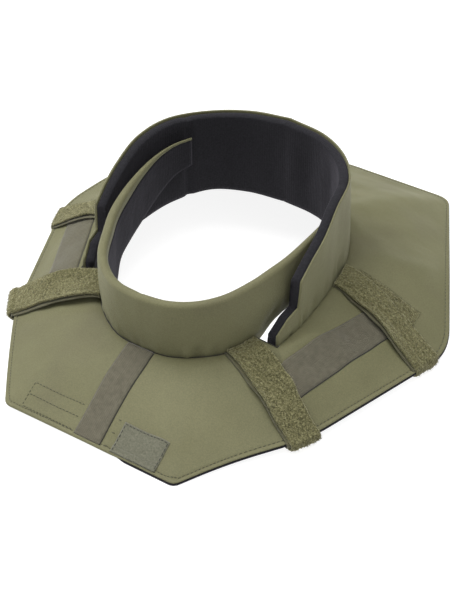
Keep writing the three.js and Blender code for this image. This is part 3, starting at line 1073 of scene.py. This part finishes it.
# Each strap: where it starts, its direction, how far it bows up, how loose its fold is, how far the
# fold lies past the hem, and how far its rear edge at the hem, its start and its front edge are lifted
straps = {
    "rightFront": {
        "at": (72.5, -75.4), "aim": (0.921, -0.388), "bow": 1.2, "loose": 0.9, "past": 0.3,
        "lifted": 0, "startLift": 0, "frontLift": 3.2, "node": "right_front_strap",
    },
    "leftFront": {
        "at": (-72.5, -76.9), "aim": (-0.954, -0.3), "bow": 1.0, "loose": 1.0, "past": 0.3,
        "lifted": 5, "startLift": 6, "frontLift": 1.2, "node": "left_front_strap",
    },
    "rightRear": {
        "at": (106, 38.7), "aim": (0.984, -0.178), "bow": 1.6, "loose": 0.1, "past": -1.6,
        "lifted": 0, "startLift": 0, "frontLift": 2.6, "node": "right_rear_strap",
    },
    "leftRear": {
        "at": (-112, 22), "aim": (-1, 0), "bow": 1.2, "loose": 0.1, "past": -1.2,
        "lifted": 0, "startLift": 0, "frontLift": 1.2, "node": "left_rear_strap",
    },
}
strapCut = {
    "tuck": 30,
    "across": 32,
    "pitch": 1.0,
    "cornerRound": 3.2,
    "under": 0.8,
    "taut": 0.85,
    "insideHem": 1.5,
    "foldSteps": 14,
    "collarClear": 2.2,
    "furthestBack": 16,
    "pace": 0.5,
}
# Two layers: a thin backing that shows along the front edge, and the fuzzy loop tape on it
strapLayers = {
    "Backing": {
        "width": 27, "aside": -1.2, "thick": 1.0, "lift": 0.7, "pile": 0, "curl": 0,
        "finish": "selvedge",
    },
    "Tape": {
        "width": 27, "aside": 0.4, "thick": 1.5, "lift": 2.6, "pile": 1.3, "curl": 1.6,
        "finish": "loop_tape",
    },
}


def reachTo(line, start, aim, offset, pace, clear=0):
    # Distance along the strap, forwards or back, at which it crosses a line round the neck
    reach = 0
    while reach > -strapCut["furthestBack"]:
        p = start + aim * reach + offset - neckMiddle
        beyond = math.hypot(p.x, p.y) - crossing(line, math.atan2(p.x, -p.y))[0] - clear
        if beyond * pace > 0:
            break
        reach += pace
    return reach


def tautOver(ground):
    # Heights of a string pulled tight over the ground
    hull = [0]
    for i in range(1, len(ground)):
        while len(hull) > 1:
            a, b = hull[-2:]
            if (ground[b] - ground[a]) * (i - a) > (ground[i] - ground[a]) * (b - a):
                break
            hull.pop()
        hull.append(i)
    heights = []
    for a, b in zip(hull, hull[1:]):
        heights += [blend(ground[a], ground[b], k / (b - a)) for k in range(b - a)]
    return heights + [ground[-1]]


def underMantle(point):
    # Underside of the lining above or below a plan point
    column = mantleColumn(math.atan2(point.x - neckMiddle.x, neckMiddle.y - point.y))
    reach = math.hypot(point.x - neckMiddle.x, point.y - neckMiddle.y)
    top = slopeAt(column, reach) - paddingAt(column, reach)
    return top - mantle["layerGap"] - mantle["liningThick"]


def strapLanes(strap, layer, surface):
    # Height of the layer's middle along each lane: over the mantle, round its hem and back beneath
    cut = strapCut
    start = Vector((*strap["at"], 0))
    aim = Vector((*strap["aim"], 0)).normalized()
    side = Vector((-aim.y, aim.x, 0))
    back = 1 if side.y > 0 else -1
    half, lift = layer["width"] / 2, layer["lift"]
    across = range(cut["across"] + 1)
    columns = [blend(-half, half, j / cut["across"]) + layer["aside"] * back for j in across]
    hems = [reachTo(hemLine, start, aim, side * c, cut["pace"]) for c in columns]
    topSteps, tuckSteps = round(max(hems) / cut["pitch"]), round(cut["tuck"] / cut["pitch"])
    lanes = []
    for c, hem in zip(columns, hems):
        begin = reachTo(neckLine, start, aim, side * c, -cut["pace"], cut["collarClear"])
        fold = hem + strap["past"]
        fromFront = (c * back + half) / (2 * half)

        def plan(reach):
            return start + aim * min(reach, hem - cut["insideHem"]) + side * c

        def beneath(reach):
            return underMantle(plan(reach)) - cut["under"] - lift * 0.9

        ground = []
        for i in range(topSteps + 1):
            p = plan(blend(begin, fold, i / topSteps))
            ground.append(dropTo(surface, p.x, p.y) + lift)
        lane = []
        for i, (low, high) in enumerate(zip(ground, tautOver(ground))):
            share = i / topSteps
            height = blend(low, high, cut["taut"])
            bow = strap["bow"] * math.sin(math.pi * share)
            raised = strap["lifted"] * fromFront * eased(0.45, 0.95, share)
            raised += strap["startLift"] * (1 - eased(0.1, 0.85, share))
            raised += strap["frontLift"] * (1 - fromFront) ** 2 * math.sin(math.pi * eased(0.25, 1, share))
            curl = layer["curl"] * (1 - eased(0, 0.16, fromFront)) * math.sin(math.pi * share) ** 0.5
            lane.append(Vector((blend(begin, fold, share), height + bow + raised + curl)))
        lower = beneath(hem)
        radius = (lane[-1].y - lower) / 2
        for i in range(1, cut["foldSteps"]):
            turn = math.pi * i / cut["foldSteps"]
            out = math.sin(turn) * radius * strap["loose"] + (lift - 0.7) * 0.6 * math.sin(turn)
            lane.append(Vector((fold + out, lower + radius + math.cos(turn) * radius)))
        for i in range(tuckSteps + 1):
            reach = fold - cut["tuck"] * i / tuckSteps
            lane.append(Vector((reach, beneath(reach))))
        lanes.append(lane)
    return start, aim, side, columns, lanes


def makeStrapLayer(name, strap, layer, surface):
    start, aim, side, columns, lanes = strapLanes(strap, layer, surface)
    cut = strapCut
    half, thick, corner = layer["width"] / 2, layer["thick"], cut["cornerRound"]
    middle = sum(columns) / len(columns)
    seed = len(name)
    last = len(lanes[0]) - 1
    foldAt = last + 1 - round(cut["tuck"] / cut["pitch"]) - cut["foldSteps"] // 2
    rings = []
    for i in range(last + 1):
        # Round corners at the tucked end, and a slight waist at the fold
        short = max(corner - (last - i) * cut["pitch"], 0)
        narrow = (half - corner + math.sqrt(corner ** 2 - short ** 2)) / half
        narrow -= 0.035 * math.exp(-((i - foldAt) / 4) ** 2)
        outer, inner = [], []
        for c, lane in zip(columns, lanes):
            forward = (lane[min(i + 1, last)] - lane[max(i - 1, 0)]).normalized()
            normal = Vector((-forward.y, forward.x))
            fromEdge = half - abs(c - middle)
            wander = wave((lane[i].x, 0, 40 if c > middle else 0), 14, seed) * 1.4
            aside = middle + (c - middle) * narrow + wander * (1 - eased(0, 4, fromEdge))
            up = thick / 2
            if layer["pile"]:
                spot = (lane[i].x, c, seed)
                tuft = wave(spot, 1.5, 4) * 0.75 + wave(spot, 4.5, 6) * 0.45
                up += layer["pile"] * max(0.45 + tuft, -0.1) * eased(0, 1.2, fromEdge + 0.4)

            def put(v):
                return placed(start + aim * v.x + side * aside + Vector((0, 0, v.y)))

            outer.append(put(lane[i] + normal * up))
            inner.append(put(lane[i] - normal * thick / 2))
        rings.append(outer + inner[::-1])
    return bodyFromRings(name, rings)


# Loop tape sewn to the mantle beside the right rear strap
tapeBaseSize = {"from": (111, 43), "to": (172, 45.5), "width": 29, "thick": 0.8, "lift": 0.1, "pile": 0.7}


def makeTapeBase():
    size = tapeBaseSize
    rings = bandRings(size["from"], size["to"], size["width"], size["thick"], size["lift"], 70, 44)
    piece = bodyFromRings("rightRearStrapBase", rings)
    for v in piece.data.vertices:
        if v.normal.z > 0.5:
            v.co.z += size["pile"] * mm * max(0.3 + wave(v.co / mm, 1.5, 8), 0)
    dressed(piece, "loop_tape", "loop_tape", "right_rear_strap_base")
    return piece


fuzz = {"perStrap": 1500, "length": 2.3, "radius": 0.12, "lean": 0.9, "sunk": 0.3}


def makeFuzz(name, tape):
    # Short stray loops that stand off the face and the edges of the tape
    edges = [f for f in tape.data.polygons if abs(f.normal.z) < 0.55]
    face = [f for f in tape.data.polygons if f.normal.z > 0.6]
    runs = []
    for k in range(fuzz["perStrap"]):
        spot = random.choice(edges if k % 2 else face)
        lean = Vector([random.uniform(-1, 1) for _ in range(3)])
        out = (spot.normal + lean * fuzz["lean"]).normalized()
        turned = (out + Vector([random.uniform(-1, 1) for _ in range(3)])).normalized()
        length = fuzz["length"] * random.uniform(0.5, 1.1) * mm
        first = spot.center - spot.normal * fuzz["sunk"] * mm
        line = [first, first + out * length * 0.5, first + out * length * 0.75 + turned * length * 0.35]
        runs.append([threadRing(p, out, fuzz["radius"] * t, 3) for p, t in zip(line, (1, 1, 0.5))])
    dressed(joinedRuns(name, runs), "loop_tape", "loop_tape")


def makeStraps():
    surface = surfaceOf(mantleCover, tapeBase, *bands)
    for name, strap in straps.items():
        for layerName, layer in strapLayers.items():
            piece = makeStrapLayer(f"{name}Strap{layerName}", strap, layer, surface)
            dressed(piece, layer["finish"], "loop_tape", strap["node"])
            if layer["pile"]:
                makeFuzz(f"{name}StrapFuzz", piece)


tapeBase = makeTapeBase()
makeFuzz("rightRearStrapBaseFuzz", tapeBase)
makeStraps()
print("straps made")


# Floor, light and camera

stage = {"size": 12, "below": 0.0004, "dark": (0.3, 0.3, 0.3), "light": (0.33, 0.33, 0.33), "glow": 0.88}


def makeStage():
    bpy.ops.mesh.primitive_plane_add(size=stage["size"], location=(0, 0, -stage["below"]))
    floor = bpy.context.object
    floor.name = "floor"
    finish, tree = newFinish("paleFloor", 0.9)
    intoShader(tree, colourRamp(tree, speckle(tree, 3.0), [(0, stage["dark"]), (1, stage["light"])]))
    shader = tree.nodes["Principled BSDF"].inputs
    shader["Emission Color"].default_value = (1, 1, 1, 1)
    shader["Emission Strength"].default_value = stage["glow"]
    floor.data.materials.append(finish)


lamps = {
    "key": {"at": (-1.2, -0.3, 1.9), "size": 1.4, "power": 42},
    "fill": {"at": (1.2, -1.0, 1.6), "size": 1.8, "power": 8},
    "top": {"at": (0.1, 0.1, 2.3), "size": 1.6, "power": 34},
}
lampsAimAt = (0, 0, 0.05)
worldLight = 0.4


def makeLights():
    for name, lamp in lamps.items():
        light = bpy.data.lights.new(name, "AREA")
        light.size = lamp["size"]
        light.energy = lamp["power"]
        holder = bpy.data.objects.new(name, light)
        holder.location = lamp["at"]
        aim = Vector(lampsAimAt) - Vector(lamp["at"])
        holder.rotation_euler = aim.to_track_quat("-Z", "Y").to_euler()
        bpy.context.scene.collection.objects.link(holder)
    world = bpy.data.worlds.new("studio")
    world.use_nodes = True
    world.node_tree.nodes["Background"].inputs["Color"].default_value = (1, 1, 1, 1)
    world.node_tree.nodes["Background"].inputs["Strength"].default_value = worldLight
    bpy.context.scene.world = world


# Solved from the photo; the middle of the view and the focal length are in its pixels
photoCamera = {
    "azimuth": 32.3,
    "elevation": 40,
    "distance": 1.108,
    "focalPixels": 1219.7,
    "imageWidth": 450,
    "imageHeight": 600,
    "centreX": 216.3,
    "centreY": 310.5,
    "sensor": 36,
}


def makeCamera():
    look = photoCamera
    a, e = math.radians(look["azimuth"]), math.radians(look["elevation"])
    right = Vector((math.cos(a), math.sin(a), 0))
    up = Vector((-math.sin(a) * math.sin(e), math.cos(a) * math.sin(e), math.cos(e)))
    back = Vector((math.sin(a) * math.cos(e), -math.cos(a) * math.cos(e), math.sin(e)))
    camera = bpy.data.cameras.new("photoCamera")
    camera.sensor_width = look["sensor"]
    camera.lens = look["focalPixels"] / look["imageHeight"] * look["sensor"]
    camera.shift_x = (look["imageWidth"] / 2 - look["centreX"]) / look["imageHeight"]
    camera.shift_y = (look["centreY"] - look["imageHeight"] / 2) / look["imageHeight"]
    camera.clip_start = 0.05
    holder = bpy.data.objects.new("photoCamera", camera)
    turn = Matrix((right, up, back)).transposed().to_4x4()
    holder.matrix_world = Matrix.Translation(placed((0, 0, 0)) + back * look["distance"]) @ turn
    bpy.context.scene.collection.objects.link(holder)
    bpy.context.scene.camera = holder


makeStage()
makeLights()
makeCamera()
bpy.context.scene.view_settings.view_transform = "Standard"
print("stage, light and camera made")

bpy.context.view_layer.update()
